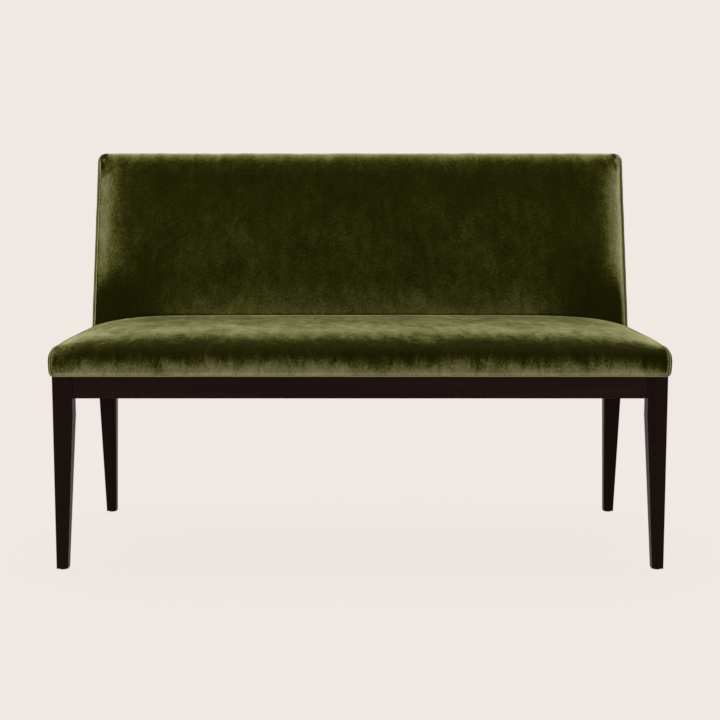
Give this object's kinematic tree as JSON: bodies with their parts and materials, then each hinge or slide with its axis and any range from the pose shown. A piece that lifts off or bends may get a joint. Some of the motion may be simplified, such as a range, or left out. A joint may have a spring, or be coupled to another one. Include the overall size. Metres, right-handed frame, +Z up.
{
  "type": "settee",
  "caption": "Long armless dining settee with a tight crowned seat and a leaning upholstered back in moss-green velvet, on tapered dark wood legs joined by rails.",
  "frame": {"origin": "on the floor, under the middle of the settee's overall box", "axes": "+Z up, the seat's front faces -Y, +X to the right of someone looking at the front"},
  "size_m": [1.322, 0.6649, 0.9122],
  "materials": {
    "stained_wood": "satin lacquer over a near-black brown stain",
    "frame_wood": "bare planed hardwood",
    "velvet": "moss-green pile with a soft sheen",
    "foam": "open-cell foam",
    "wadding": "soft white fibre",
    "webbing": "woven elastic strap",
    "board": "smooth pressed board",
    "dust_cloth": "thin black cloth",
    "screw_steel": "zinc plated",
    "glide_nylon": "smooth dark nylon"
  },
  "bodies": {
    "root": {"front_leg_left": "stained_wood", "front_leg_right": "stained_wood", "rear_leg_left": "stained_wood", "rear_leg_right": "stained_wood", "leg_glides": "glide_nylon", "front_rail": "stained_wood", "rear_rail": "stained_wood", "side_rail_left": "stained_wood", "side_rail_right": "stained_wood", "centre_rail": "frame_wood", "corner_blocks": "frame_wood", "corner_block_screws": "screw_steel", "frame_dowels": "frame_wood", "dust_cover": "dust_cloth", "dust_cover_staples": "screw_steel", "seat_screws": "screw_steel", "seat_frame_front": "frame_wood", "seat_frame_rear": "frame_wood", "seat_frame_side_left": "frame_wood", "seat_frame_side_right": "frame_wood", "seat_frame_centre": "frame_wood", "seat_frame_dowels": "frame_wood", "seat_webbing": "webbing", "seat_foam": "foam", "seat_wadding": "wadding", "seat_side_pad_left": "wadding", "seat_side_pad_right": "wadding", "seat_cover": "velvet", "seat_side_panel_left": "velvet", "seat_side_panel_right": "velvet", "back_top_rail": "frame_wood", "back_bottom_rail": "frame_wood", "back_centre_stile": "frame_wood", "back_webbing": "webbing", "back_foam": "foam", "back_wadding": "wadding", "back_side_pad_left": "wadding", "back_side_pad_right": "wadding", "back_board": "board", "back_front_cover": "velvet", "back_side_panel_left": "velvet", "back_side_panel_right": "velvet", "back_outer_cover": "velvet"}
  },
  "joints": []
}
